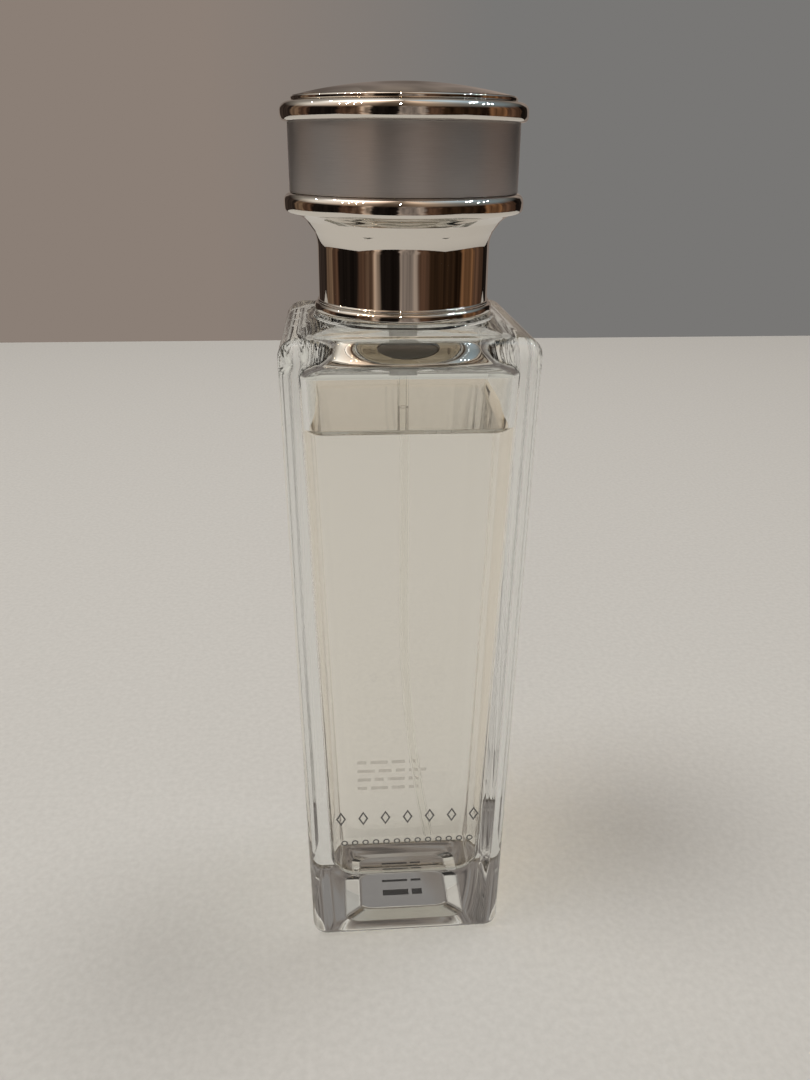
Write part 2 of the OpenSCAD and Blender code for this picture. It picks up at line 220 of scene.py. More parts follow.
class Nodes:
    """A short way to build one material's node tree."""

    def __init__(self, name):
        self.material = bpy.data.materials.new(name)
        self.material.use_nodes = True
        self.tree = self.material.node_tree
        self.tree.nodes.clear()
        self.out = self.add("ShaderNodeOutputMaterial")
        self.place = self.add("ShaderNodeTexCoord").outputs["Object"]

    def add(self, kind, **values):
        node = self.tree.nodes.new(kind)
        for key, value in values.items():
            setattr(node, key, value)
        return node

    def link(self, source, target):
        self.tree.links.new(source, target)

    def shader(self, base, rough, **sockets):
        """A Principled shader with a plain base colour and roughness, and any other sockets by name."""
        node = self.add("ShaderNodeBsdfPrincipled")
        node.inputs["Base Color"].default_value = (*base, 1)
        node.inputs["Roughness"].default_value = rough
        for key, value in sockets.items():
            node.inputs[key.replace("_", " ")].default_value = value
        return node

    def mapped(self, scale):
        node = self.add("ShaderNodeMapping")
        node.inputs["Scale"].default_value = scale
        self.link(self.place, node.inputs["Vector"])
        return node.outputs["Vector"]

    def noise(self, scale, stretch=(1, 1, 1), detail=3.0, rough=0.5):
        """Noise whose features are about 1/scale metres across."""
        node = self.add("ShaderNodeTexNoise")
        node.inputs["Scale"].default_value = scale
        node.inputs["Detail"].default_value = detail
        node.inputs["Roughness"].default_value = rough
        self.link(self.mapped(stretch), node.inputs["Vector"])
        return node.outputs["Fac"]

    def spread(self, factor, low_value, high_value, low_in=NOISE_LOW, high_in=NOISE_HIGH):
        """A factor's middle range spread between two values."""
        node = self.add("ShaderNodeMapRange")
        node.inputs["From Min"].default_value = low_in
        node.inputs["From Max"].default_value = high_in
        node.inputs["To Min"].default_value = low_value
        node.inputs["To Max"].default_value = high_value
        self.link(factor, node.inputs["Value"])
        return node.outputs["Result"]

    def blend(self, factor, colour_a, colour_b):
        """A factor's middle range spread between two colours."""
        node = self.add("ShaderNodeValToRGB")
        node.color_ramp.elements[0].position = NOISE_LOW
        node.color_ramp.elements[0].color = (*colour_a, 1)
        node.color_ramp.elements[1].position = NOISE_HIGH
        node.color_ramp.elements[1].color = (*colour_b, 1)
        self.link(factor, node.inputs["Fac"])
        return node.outputs["Color"]

    def bump(self, shader, height, distance, strength=1.0):
        node = self.add("ShaderNodeBump")
        node.inputs["Distance"].default_value = distance
        node.inputs["Strength"].default_value = strength
        self.link(height, node.inputs["Height"])
        self.link(node.outputs["Normal"], shader.inputs["Normal"])

    def finish(self, shader):
        self.link(shader.outputs[0], self.out.inputs["Surface"])
        return self.material

    def finish_clear(self, shader, shadow):
        """As finish, but lamps shine through, tinted by shadow."""
        through = self.add("ShaderNodeBsdfTransparent")
        through.inputs["Color"].default_value = (*shadow, 1)
        path = self.add("ShaderNodeLightPath")
        mix = self.add("ShaderNodeMixShader")
        self.link(path.outputs["Is Shadow Ray"], mix.inputs[0])
        self.link(shader.outputs[0], mix.inputs[1])
        self.link(through.outputs[0], mix.inputs[2])
        return self.finish(mix)


def clear_material(name, tint, ior, shadow, wave=0.0):
    """Something clear: glass, perfume, the wet wall between them or the dip tube.
    shadow tints the lamps' light, and wave is how deep the ripples of the surface are."""
    n = Nodes(name)
    shader = n.shader(tint, 0.0, Transmission_Weight=1.0, IOR=ior)
    if wave:
        n.bump(shader, n.noise(110, (1, 1, 0.35), detail=0), wave)
    return n.finish_clear(shader, shadow)


def chrome_material(name, base):
    """Polished plating, with the faint haze and wipe marks of a handled cap."""
    n = Nodes(name)
    shader = n.shader(base, 0.04, Metallic=1.0)
    smudge = n.noise(220, detail=5, rough=0.6)
    n.link(n.spread(smudge, 0.01, 0.05, 0.45, 0.75), shader.inputs["Roughness"])
    n.link(n.blend(n.noise(90), [c * 0.97 for c in base], base), shader.inputs["Base Color"])
    return n.finish(shader)


def satin_material(name, base):
    """Turned aluminium: fine lines round the axis, which smear what it mirrors up and down."""
    n = Nodes(name)
    shader = n.shader(base, 0.46, Metallic=1.0, Anisotropic=0.75, Anisotropic_Rotation=0.25)
    lines = n.noise(1.0, (300, 300, 22000), detail=4, rough=0.7)
    n.link(n.spread(lines, 0.42, 0.50), shader.inputs["Roughness"])
    colour = n.blend(lines, [c * 0.90 for c in base], [min(c * 1.07, 1) for c in base])
    n.link(colour, shader.inputs["Base Color"])
    n.bump(shader, lines, 0.004 * MM, 0.5)
    return n.finish(shader)


def plastic_material(name, base, rough=0.35):
    """Moulded plastic, with a little flow mottling and a fine moulded skin."""
    n = Nodes(name)
    shader = n.shader(base, rough, IOR=1.49)
    n.link(n.blend(n.noise(260), [c * 0.93 for c in base], base), shader.inputs["Base Color"])
    n.link(n.spread(n.noise(700), rough - 0.05, rough + 0.08), shader.inputs["Roughness"])
    n.bump(shader, n.noise(2600), 0.01 * MM, 0.4)
    return n.finish(shader)


def metal_material(name, base, rough):
    """Plain drawn or wound metal with fine draw marks up the axis."""
    n = Nodes(name)
    shader = n.shader(base, rough, Metallic=1.0)
    marks = n.noise(1.0, (5000, 5000, 500), detail=3)
    n.link(n.spread(marks, rough * 0.7, rough * 1.3), shader.inputs["Roughness"])
    n.link(n.blend(n.noise(400), [c * 0.9 for c in base], base), shader.inputs["Base Color"])
    n.bump(shader, marks, 0.004 * MM, 0.4)
    return n.finish(shader)


def ink_material(name, base, cover=1.0):
    """Screen-printed ink, a little uneven in density and gloss.
    cover is how much of the view it blocks."""
    n = Nodes(name)
    shader = n.shader(base, 0.4, Metallic=0.35)
    colour = n.blend(n.noise(3500), [c * 0.75 for c in base], [c * 1.2 for c in base])
    n.link(colour, shader.inputs["Base Color"])
    n.link(n.spread(n.noise(2500), 0.3, 0.55), shader.inputs["Roughness"])
    if cover < 1:
        mix = n.add("ShaderNodeMixShader")
        mix.inputs[0].default_value = cover
        n.link(n.add("ShaderNodeBsdfTransparent").outputs[0], mix.inputs[1])
        n.link(shader.outputs[0], mix.inputs[2])
        return n.finish(mix)
    return n.finish(shader)


GLASS_IOR = 1.5
PERFUME_IOR = 1.36
WET_IOR = GLASS_IOR / PERFUME_IOR
glass = clear_material("clear_glass", (0.97, 0.985, 0.975), GLASS_IOR, (0.85, 0.855, 0.85),
                       wave=0.004 * MM)
wet_glass = clear_material("clear_glass_wet", (1.0, 0.997, 0.985), WET_IOR, (0.95, 0.95, 0.94))
perfume_side = clear_material("perfume_side", (1.0, 0.972, 0.935), 1.0, (0.97, 0.94, 0.90))
# The top surface's brown tint is partly the perfume's own colour over a longer path and partly painted
# shade: the shadowed floor behind the base, seen down through the perfume.
perfume_top_tint_and_shade = clear_material("perfume_top_tint_and_shade", (0.86, 0.74, 0.61), PERFUME_IOR, (0.97, 0.95, 0.92))
tube_plastic = clear_material("tube_plastic", (0.985, 0.985, 0.975), 1.08, (0.97, 0.97, 0.96))
chrome = chrome_material("cap_chrome", (0.80, 0.76, 0.705))
cover_chrome = chrome_material("silver_cover", (0.88, 0.86, 0.84))
satin = satin_material("satin_aluminium", (0.56, 0.54, 0.54))
white_plastic = plastic_material("pump_plastic", (0.92, 0.92, 0.91))
cap_plastic = plastic_material("cap_plastic", (0.78, 0.78, 0.77), 0.45)
rubber = plastic_material("black_rubber", (0.03, 0.03, 0.032), 0.6)
steel = metal_material("spring_steel", (0.62, 0.62, 0.64), 0.22)
aluminium = metal_material("ferrule_aluminium", (0.80, 0.80, 0.81), 0.3)
ink = ink_material("print_ink", (0.17, 0.17, 0.165))
pale_ink = ink_material("pale_ink", (0.45, 0.36, 0.32), 0.16)
dark_ink = ink_material("dark_ink", (0.02, 0.02, 0.025))

CAD_FINISHES = {
    "dip_tube": tube_plastic,
    "neck_gasket": white_plastic,
    "stem_seal": rubber,
    "pump_housing": white_plastic,
    "pump_piston": white_plastic,
    "pump_stem": white_plastic,
    "pump_closure": white_plastic,
    "collar_clip": white_plastic,
    "button_core": white_plastic,
    "spray_insert": white_plastic,
    "check_ball": steel,
    "crimp_ferrule": aluminium,
    "cap_insert": cap_plastic,
    "cap_core": cap_plastic,
    "collar_shell": cover_chrome,
    "button_shell": cover_chrome,
}
for node, material in CAD_FINISHES.items():
    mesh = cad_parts[node].data
    mesh.materials.clear()
    mesh.materials.append(material)

# ---------------------------------------------------------------- glass bottle and perfume

FOOT_HALF = 15.0 * MM
EDGE_R = 2.5 * MM
HEEL_R = 1.2 * MM
BOSS_R = 12.0 * MM
WALL_FOOT = 3.2 * MM
WALL_TOP = 2.4 * MM
CAVITY_FLOOR_R = 4.2 * MM
CAVITY_CORNER_R = 2.5 * MM
FILM = 0.02 * MM                      # gap between the perfume's mesh and the wet glass
MENISCUS_RISE = 0.9 * MM
MENISCUS_WIDTH = 1.6 * MM
PERFUME_GAP = 0.05 * MM               # from the cavity's floor up to the CAD's perfume
COLLAR_GAP = 0.8 * MM                 # from the boss up to the collar
BOSS_H = 0.7 * MM
PUNT_H = 1.2 * MM                     # how deep the recess of the underside is
ROOF_DROP = 4.9 * MM                  # from the shoulder down to where the cavity turns in
ROOF_RISE = 3.3 * MM
ROOF_BORE_R = 5.3 * MM
OUTSIDE_WAVE = 0.006 * MM
CAVITY_WAVE = 0.03 * MM
OUTSIDE, DRY, WET = 0, 1, 2           # the finishes of the glass
SIDE, TOP = 0, 1                      # the finishes of the perfume

lip_top = high("glass_bottle").z
top_half = high("glass_bottle").x
boss_z = low("collar_shell").z - COLLAR_GAP
shoulder_z = boss_z - BOSS_H
edge_z = shoulder_z - EDGE_R          # where the shoulder starts to turn in
floor_z = low("perfume_liquid").z - PERFUME_GAP
fill_z = high("perfume_liquid").z
roof_z = shoulder_z - ROOF_DROP
contact_z = fill_z + MENISCUS_RISE    # where the perfume meets the glass


def outer_half(z):
    """Half the outside's width at a height, along the straight taper."""
    t = (z - HEEL_R) / (edge_z - HEEL_R)
    return FOOT_HALF + (top_half - FOOT_HALF) * t


floor_half = outer_half(floor_z) - WALL_FOOT
roof_half = outer_half(roof_z) - WALL_TOP
wall_z0 = floor_z + CAVITY_FLOOR_R     # where the cavity's straight wall starts


def cavity_ring(z, finish):
    """The ring of the cavity's straight wall at a height."""
    t = (z - wall_z0) / (roof_z - wall_z0)
    return (mix(floor_half, roof_half, t), mix(CAVITY_FLOOR_R, CAVITY_CORNER_R, t), z, finish)


def outside_rings():
    """From the middle of the underside out, up the sides and over the shoulder to the boss."""
    punt_half, punt_r = 9.5 * MM, 2.5 * MM
    rings = [(3 * MM, 1.5 * MM, PUNT_H, OUTSIDE), (6.9 * MM, 2.2 * MM, PUNT_H, OUTSIDE)]
    r = 0.6 * MM
    for s, c in sweep(90, 30, 4):
        rings.append((7.0 * MM + r * c, punt_r - r + r * c, PUNT_H - r + r * s, OUTSIDE))
    r = 0.4 * MM
    for s, c in sweep(150, 90, 4):
        rings.append((punt_half + r * (1 + c), punt_r + r * (1 + c), r * (1 - s), OUTSIDE))
    flat = FOOT_HALF - HEEL_R
    rings.append((flat - 0.1 * MM, EDGE_R - HEEL_R, 0, OUTSIDE))
    for s, c in sweep(0, 90, 8):
        rings.append((flat + HEEL_R * s, EDGE_R - HEEL_R * (1 - s), HEEL_R * (1 - c), OUTSIDE))
    for z in [HEEL_R + 0.1 * MM, *even(HEEL_R + 2 * MM, edge_z - 2 * MM, 44), edge_z - 0.1 * MM]:
        rings.append((outer_half(z), EDGE_R, z, OUTSIDE))
    for s, c in sweep(0, 84, 10):
        rings.append((top_half - EDGE_R * (1 - c), EDGE_R * max(c, 0.12), edge_z + EDGE_R * s, OUTSIDE))
    step = 0.3 * MM
    inner = top_half - EDGE_R
    for t in even(0.08, 1, 10):
        rings.append((mix(inner, BOSS_R, t), mix(0.3 * MM, BOSS_R, t ** 0.8),
                      mix(shoulder_z, boss_z - step, t), OUTSIDE))
    for r, z in arc((BOSS_R - step, boss_z - step), step, 0, 90, 4):
        rings.append((r, r, z, OUTSIDE))
    return rings


def neck_rings():
    """From the boss in to the neck, over the lip and down the bore."""
    neck_r, lip_r, bore_r = 6.6 * MM, 7.5 * MM, 4.7 * MM
    lip_h, edge, bore_edge, chamfer = 2.8 * MM, 0.5 * MM, 0.3 * MM, 0.6 * MM
    roof_top = roof_z + ROOF_RISE
    outline = [(neck_r + edge, boss_z)]
    outline += arc((neck_r + edge, boss_z + edge), edge, 270, 180, 4)
    outline += [(neck_r, lip_top - lip_h - 0.1 * MM)]
    outline += arc((lip_r - edge, lip_top - lip_h + edge), edge, 270, 360, 5)
    outline += arc((lip_r - edge, lip_top - edge), edge, 0, 90, 5)
    outline += arc((bore_r + bore_edge, lip_top - bore_edge), bore_edge, 90, 180, 4)
    outline += [(bore_r, roof_top + chamfer), (bore_r + chamfer, roof_top)]
    return [(r, r, z, DRY) for r, z in outline]


def roof_rings():
    """From the bore out under the shoulder and round into the wall, along a quarter of an ellipse."""
    rings = []
    for s, c in sweep(84, 0, 20):
        half = mix(ROOF_BORE_R, roof_half, c)
        corner = mix(ROOF_BORE_R, CAVITY_CORNER_R, c ** 0.7)
        rings.append((half, corner, roof_z + ROOF_RISE * s, DRY))
    return rings


def wet_rings(finish):
    """The cavity from the perfume's contact line down to the middle of its floor."""
    rings = [cavity_ring(z, finish) for z in even(contact_z, wall_z0 + 0.1 * MM, 40)]
    inner = floor_half - CAVITY_FLOOR_R
    for s, c in sweep(90, 4, 12):
        rings.append((inner + CAVITY_FLOOR_R * s, CAVITY_FLOOR_R * max(s, 0.08),
                      floor_z + CAVITY_FLOOR_R * (1 - c), finish))
    rings.append((inner * 0.8, 0.5 * MM, floor_z, finish))
    rings.append((inner * 0.3, 0.3 * MM, floor_z, finish))
    return rings


def glass_wobble(angle, z, finish):
    """The slow waves of blown glass: slight outside, stronger on the cavity's wall."""
    if not HEEL_R < z < edge_z:
        return 0.0
    fade = 8 * MM
    ends = min((z - HEEL_R) / fade, (edge_z - z) / fade, 1.0)
    amount = OUTSIDE_WAVE if finish == OUTSIDE else CAVITY_WAVE
    wave = math.sin(z / (7.5 * MM) + 2.1 * math.sin(3 * angle)) * math.cos(2 * angle + 0.6)
    wave += 0.6 * math.sin(z / (17 * MM) + 4 * angle + 1.0)
    return amount * wave * ends


dry_wall = [cavity_ring(z, DRY) for z in even(roof_z - 0.1 * MM, contact_z + 0.4 * MM, 4)]
glass_rings = outside_rings() + neck_rings() + roof_rings() + dry_wall + wet_rings(WET)
bottle = loft("glass_body", glass_rings, "bottle", [glass, glass, wet_glass],
              glass_wobble)
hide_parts("glass_bottle")


def perfume_rings():
    """The perfume: the wetted cavity less a film's width, closed by a curved surface."""
    rings = [(half - FILM, max(corner - FILM, 0.05 * MM), z + (FILM if z < wall_z0 else 0), SIDE)
             for half, corner, z, _ in reversed(wet_rings(SIDE))]
    half, corner, z, _ = rings.pop()
    rings.append((half, corner, z, TOP))
    for t in even(0.12, 1, 8):
        sink = MENISCUS_RISE * (1 - (1 - t) ** 2.4)
        inset = MENISCUS_WIDTH * t
        rings.append((half - inset, max(corner - 0.6 * inset, 0.4 * MM), contact_z - sink, TOP))
    rings.append((half * 0.6, 1.2 * MM, fill_z, TOP))
    rings.append((half * 0.2, 0.6 * MM, fill_z, TOP))
    return rings


perfume = loft("perfume", perfume_rings(), "bottle", [perfume_side, perfume_top_tint_and_shade],
               lambda angle, z, finish: glass_wobble(angle, z, WET))
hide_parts("perfume_liquid")

# ---------------------------------------------------------------- return spring

WIRE_R, COIL_TURNS, STROKE = 0.16 * MM, 4, 3.2 * MM
spring_z0, spring_z1 = low("return_spring").z, high("return_spring").z
spring = coil("coil_spring", high("return_spring").x - WIRE_R, WIRE_R, spring_z0, spring_z1, COIL_TURNS,
              "stem", steel)
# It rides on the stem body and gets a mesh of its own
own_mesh(spring)
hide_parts("return_spring")

# ---------------------------------------------------------------- printed ornaments, all plain shapes

INK_OUT = 0.025 * MM                  # how far the ink stands out of the glass
INK_IN = 0.03 * MM                    # how far it reaches into the glass
CIRCLE_STEPS = 24
LOZENGES, RINGS = 7, 13
LOZENGE_Z, RING_Z = 24.0 * MM, 19.3 * MM
LOZENGE_PITCH, RING_PITCH = 3.35, 1.6  # in mm
BAR_ROWS, BARS_A_ROW = 4, 4
BAR_Z, BAR_PITCH = 13.8, 1.75         # in mm
BAR_LEFT, BAR_H, BAR_GAP = -7.2 * MM, 0.6 * MM, 0.7 * MM


def printed(name, marks, place, material):
    """Flat marks as one thin solid.
    Each mark is an outline of (u, v) points and its inner outline, or None."""
    vertices, faces = [], []
    for outer, inner in marks:
        n, first = len(outer), len(vertices)
        for depth in (INK_OUT, -INK_IN):
            for outline in (outer, inner or []):
                vertices += [place(u, v, depth) for u, v in outline]
        layer = 2 * n if inner else n
        for i in range(n):
            k = (i + 1) % n
            a, b = first + i, first + k
            faces.append((a, b, b + layer, a + layer))
            if inner:
                faces.append((a, b, b + n, a + n))
                faces.append((a + layer, b + layer, b + layer + n, a + layer + n))
                faces.append((a + n, b + n, b + n + layer, a + n + layer))
        if not inner:
            faces.append(tuple(range(first, first + n)))
            faces.append(tuple(range(first + n, first + 2 * n)))
    return new_piece(name, vertices, faces, "bottle", [material], crease=30)


def lozenge(u, v, width, height):
    return [(u, v + height / 2), (u + width / 2, v), (u, v - height / 2), (u - width / 2, v)]


def circle(u, v, radius):
    angles = [2 * math.pi * i / CIRCLE_STEPS for i in range(CIRCLE_STEPS)]
    return [(u + radius * math.cos(a), v + radius * math.sin(a)) for a in angles]


def bar(u, v, width, height):
    return [(u, v), (u + width, v), (u + width, v + height), (u, v + height)]


def front(u, v, depth):
    return (u, -outer_half(v) - depth, v)


def back(u, v, depth):
    return (u, outer_half(v) + depth, v)


def under(u, v, depth):
    return (u, v, PUNT_H - depth)


front_marks = []
for i in range(LOZENGES):
    u = (i - LOZENGES // 2) * LOZENGE_PITCH * MM
    front_marks.append((lozenge(u, LOZENGE_Z, 1.5 * MM, 2.6 * MM),
                        lozenge(u, LOZENGE_Z, 0.95 * MM, 1.75 * MM)))
for i in range(RINGS):
    u = (i - RINGS // 2) * RING_PITCH * MM
    front_marks.append((circle(u, RING_Z, 0.5 * MM), circle(u, RING_Z, 0.3 * MM)))
printed("front_ornament", front_marks, front, ink)

back_marks = []
for row in range(BAR_ROWS):
    u = BAR_LEFT
    for k in range(BARS_A_ROW):
        width = (1.6 + 0.7 * ((row + 2 * k) % 3)) * MM
        back_marks.append((bar(u, (BAR_Z + BAR_PITCH * row) * MM, width, BAR_H), None))
        u += width + BAR_GAP
printed("back_bars", back_marks, back, pale_ink)

base_marks = []
for v, deep in ((-2.0 * MM, 2.2 * MM), (3.6 * MM, 0.8 * MM)):
    base_marks += [(bar(-3.4 * MM, v, 4.3 * MM, deep), None), (bar(1.5 * MM, v, 1.7 * MM, deep), None)]
printed("base_bars", base_marks, under, dark_ink)

# ---------------------------------------------------------------- chrome cap


def cap_skirt_outline():
    """Chrome neck: foot bead, step, straight neck, cove and the bead under the satin band."""
    foot = low("cap_skirt").z
    neck_r, bore_r, cove_r = 11.12 * MM, 10.15 * MM, 4.28 * MM
    foot_r, step_r, bead_r = 0.65 * MM, 0.2 * MM, 1.2 * MM
    spigot_r, spigot_bore_r, spigot_h = 13.85 * MM, 13.35 * MM, 1.4 * MM
    ring_r = high("cap_skirt").x - bead_r
    band_z = low("satin_band").z
    cove_z = foot + 8.2 * MM
    outline = [(bore_r, foot + 0.25 * MM), (bore_r + 0.2 * MM, foot)]
    outline += bead(neck_r - 0.05 * MM, foot + foot_r, foot_r, -95, 72, 24)
    outline += arc((neck_r, foot + 2 * foot_r + 0.7 * step_r), step_r, -50, 85, 8)
    neck_foot = foot + 2 * foot_r + 1.8 * step_r
    outline += [(neck_r, z) for z in (neck_foot, mix(foot, cove_z, 0.5), cove_z - 0.1 * MM)]
    outline += arc((neck_r + cove_r, cove_z), cove_r, 180, 101.4, 24)
    outline += bead(ring_r, band_z - bead_r, bead_r, -61, 90, 30)
    outline += [(spigot_r, band_z), (spigot_r, band_z + spigot_h), (spigot_bore_r, band_z + spigot_h)]
    outline += [(spigot_bore_r, cove_z + 4.3 * MM), (bore_r, cove_z)]
    return outline


def cap_rim_outline():
    """Chrome rim: the bead over the satin band, and the spigot that goes down inside it."""
    bottom, top = high("satin_band").z, high("cap_rim").z
    bead_r = (top - bottom) / 2
    ring_r = high("cap_rim").x - bead_r
    bore_r = 11.0 * MM
    spigot_r = bore_r + 0.95 * MM
    foot = low("cap_rim").z
    outline = [(bore_r, foot), (spigot_r, foot), (spigot_r, bottom)]
    outline += bead(ring_r, bottom + bead_r, bead_r, -90, 90, 40)
    return outline + [(bore_r, top)]


def cap_disc_outline():
    """Chrome disc: a plug that goes down inside the rim, a thin edge and a low dome."""
    edge_h, edge_r, rise = 0.55 * MM, 0.2 * MM, 1.75 * MM
    r = high("cap_disc").x
    plug_r, plug_z = 10.95 * MM, low("cap_disc").z
    base = high("cap_rim").z + 0.03 * MM
    outline = [(0, plug_z), (plug_r, plug_z), (plug_r, base)]
    outline += arc((r - edge_r, base + edge_r), edge_r, -90, 0, 4)
    outline += arc((r - edge_r, base + edge_h - edge_r), edge_r, 0, 90, 4)
    dome_r = (r * r + rise * rise) / (2 * rise)
    top = base + edge_h + rise
    for x in even(0.985, 0.0, 28):
        outline.append((r * x, top - dome_r + math.sqrt(dome_r * dome_r - r * r * x * x)))
    return outline


def band_outline():
    """The satin band: a thin ring with rounded outer edges."""
    r, wall, edge = high("satin_band").x, 0.52 * MM, 0.08 * MM
    z0, z1 = low("satin_band").z, high("satin_band").z
    outline = [(r - wall, z0), *arc((r - edge, z0 + edge), edge, -90, 0, 3)]
    return outline + [(r, mix(z0, z1, 0.5)), *arc((r - edge, z1 - edge), edge, 0, 90, 3), (r - wall, z1)]


skirt = lathe("chrome_skirt", cap_skirt_outline(), "cap", chrome)
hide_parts("cap_skirt")
rim = lathe("chrome_rim", cap_rim_outline(), "cap", chrome)
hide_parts("cap_rim")
disc = lathe("chrome_disc", cap_disc_outline(), "cap", chrome)
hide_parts("cap_disc")
band = lathe("satin_ring", band_outline(), "cap", satin)
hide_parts("satin_band")

# ---------------------------------------------------------------- stage, lights and camera

cloth = Nodes("floor_cloth")
cloth_shader = cloth.shader((0.74, 0.72, 0.69), 0.9, Specular_IOR_Level=0.0)
weave = cloth.noise(900, detail=4)
cloth_colour = cloth.blend(weave, (0.70, 0.69, 0.655), (0.76, 0.75, 0.715))
cloth.link(cloth_colour, cloth_shader.inputs["Base Color"])
cloth.bump(cloth_shader, weave, 0.1 * MM, 0.5)
cloth.finish(cloth_shader)

FLOOR_X, FLOOR_Y, FLOOR_Z = 1.2, 0.46, -0.08 * MM
FLOOR = [(-FLOOR_X, -FLOOR_Y), (FLOOR_X, -FLOOR_Y), (FLOOR_X, FLOOR_Y), (-FLOOR_X, FLOOR_Y)]
TABLE_Z = -0.05 * MM
TABLE = [(-0.46, -0.22), (0.38, -0.30), (0.5, FLOOR_Y), (-0.5, FLOOR_Y)]


def sheet(name, corners, z, material):
    """A flat sheet that isn't part of the bottle."""
    mesh = bpy.data.meshes.new(name)
    mesh.from_pydata([(x, y, z) for x, y in corners], [], [(0, 1, 2, 3)])
    mesh.materials.append(material)
    piece = bpy.data.objects.new(name, mesh)
    bpy.context.scene.collection.objects.link(piece)
    return piece


floor = sheet("floor", FLOOR, FLOOR_Z, cloth.material)
floor.visible_glossy = False
# What the chrome mirrors of the table: a smaller sheet, which ends nearer to the bottle in front
table = sheet("mirrored_table", TABLE, TABLE_Z, cloth.material)
table.visible_camera = False
table.visible_diffuse = False
table.visible_transmission = False
table.visible_shadow = False


def softbox(name, direction, distance, size, watts, colour):
    """A round lamp that shines at the bottle from a direction and isn't seen in the chrome."""
    data = bpy.data.lights.new(name, "AREA")
    data.shape = "DISK"
    data.size = size
    data.energy = watts
    data.color = colour
    lamp = bpy.data.objects.new(name, data)
    aim = Vector(direction).normalized()
    lamp.location = aim * distance
    lamp.rotation_euler = aim.to_track_quat("Z", "Y").to_euler()
    lamp.visible_glossy = False
    lamp.visible_transmission = False
    bpy.context.scene.collection.objects.link(lamp)
    return lamp


SPARK_R, SPARK_DISTANCE, SPARK_WATTS = 0.018, 1.5, 3.0
SPARK_SPACING = 9                     # degrees between the lamps of a row
SPARK_ROWS = (0, 12)                  # degrees over the lower row
WARM, COOL = (1.0, 0.80, 0.55), (0.82, 0.92, 1.0)
# Azimuth and elevation in degrees, lamps a row, and colour
SPARKS = [(-125, 44, 1, WARM), (-66, 44, 3, WARM), (-8, 44, 1, WARM), (97, 44, 3, COOL)]
polished = bpy.data.collections.new("polished")
for piece in (bottle, skirt, rim, disc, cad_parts["collar_shell"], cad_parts["button_shell"]):
    polished.objects.link(piece)


def spark(name, azimuth, elevation, colour):
    """A small ceiling lamp that only shows as a highlight on polished parts."""
    data = bpy.data.lights.new(name, "POINT")
    data.shadow_soft_size = SPARK_R
    data.energy = SPARK_WATTS
    data.color = colour
    data.cycles.max_bounces = 1
    lamp = bpy.data.objects.new(name, data)
    a, e = math.radians(azimuth), math.radians(elevation)
    direction = Vector((math.sin(a) * math.cos(e), -math.cos(a) * math.cos(e), math.sin(e)))
    lamp.location = direction * SPARK_DISTANCE
    lamp.visible_diffuse = False
    lamp.visible_transmission = False
    lamp.visible_camera = False
    lamp.light_linking.receiver_collection = polished
    bpy.context.scene.collection.objects.link(lamp)


softbox("key_left", (-0.36, -0.06, 0.93), 1.2, 0.4, 4.9, (1.0, 0.985, 0.96))
softbox("key_right", (0.30, 0.14, 0.94), 1.2, 0.35, 2.9, (1.0, 0.99, 0.975))
softbox("fill_front", (-0.1, -0.8, 0.7), 1.4, 0.8, 1.0, (1.0, 1.0, 1.0))
softbox("fill_low", (-0.1, -0.97, 0.16), 1.4, 0.8, 1.6, (1.0, 0.99, 0.97))

for azimuth, elevation, count, colour in SPARKS:
    for i in range(count):
        aside = SPARK_SPACING * (i - (count - 1) / 2)
        for row, up_by in enumerate(SPARK_ROWS):
            spark(f"spark_{azimuth}_{i}_{row}", azimuth + aside, elevation + up_by, colour)

world = bpy.data.worlds.new("studio")
world.use_nodes = True
bpy.context.scene.world = world
wt = world.node_tree
wt.nodes.clear()


def world_node(kind, **values):
    node = wt.nodes.new(kind)
    for key, value in values.items():
        setattr(node, key, value)
    return node


def world_math(operation, a, b=None, clamp=False):
    node = world_node("ShaderNodeMath", operation=operation, use_clamp=clamp)
    for socket, value in zip(node.inputs, (a, b)):
        if isinstance(value, (int, float)):
            socket.default_value = value
        elif value is not None:
            wt.links.new(value, socket)
    return node.outputs[0]


def world_mix(factor, a, b):
    node = world_node("ShaderNodeMix", data_type="RGBA")
    wt.links.new(factor, node.inputs["Factor"])
    for key, value in (("A", a), ("B", b)):
        socket = [s for s in node.inputs if s.name == key and s.type == "RGBA"][0]
        if isinstance(value, tuple):
            socket.default_value = (*value, 1)
        else:
            wt.links.new(value, socket)
    return [s for s in node.outputs if s.type == "RGBA"][0]


def world_tint(a, b):
    """Two colours multiplied."""
    node = world_node("ShaderNodeVectorMath", operation="MULTIPLY")
    wt.links.new(a, node.inputs[0])
    wt.links.new(b, node.inputs[1])
    return node.outputs[0]


def world_noise(stretch, scale, detail):
    """Noise over directions."""
    place = world_node("ShaderNodeMapping")
    place.inputs["Scale"].default_value = stretch
    wt.links.new(world_node("ShaderNodeTexCoord").outputs["Generated"], place.inputs["Vector"])
    node = world_node("ShaderNodeTexNoise")
    node.inputs["Scale"].default_value = scale
    node.inputs["Detail"].default_value = detail
    wt.links.new(place.outputs["Vector"], node.inputs["Vector"])
    return node.outputs["Fac"]


def world_ramp(factor, stops_in, mode="LINEAR"):
    """A colour ramp from (position, colour) stops."""
    node = world_node("ShaderNodeValToRGB")
    wt.links.new(factor, node.inputs["Fac"])
    elements = node.color_ramp.elements
    node.color_ramp.interpolation = mode
    elements.remove(elements[0])
    elements[0].position, elements[0].color = stops_in[0][0], (*stops_in[0][1], 1)
    for position, colour in stops_in[1:]:
        elements.new(position).color = (*colour, 1)
    return node.outputs["Color"]


def world_past(value, start):
    """0 up to start, and then rising to 1 over the next sixth."""
    return world_math("MULTIPLY", world_math("ADD", value, -start), 6.0, clamp=True)


split = world_node("ShaderNodeSeparateXYZ")
wt.links.new(world_node("ShaderNodeTexCoord").outputs["Generated"], split.inputs[0])
side, ahead, up = split.outputs
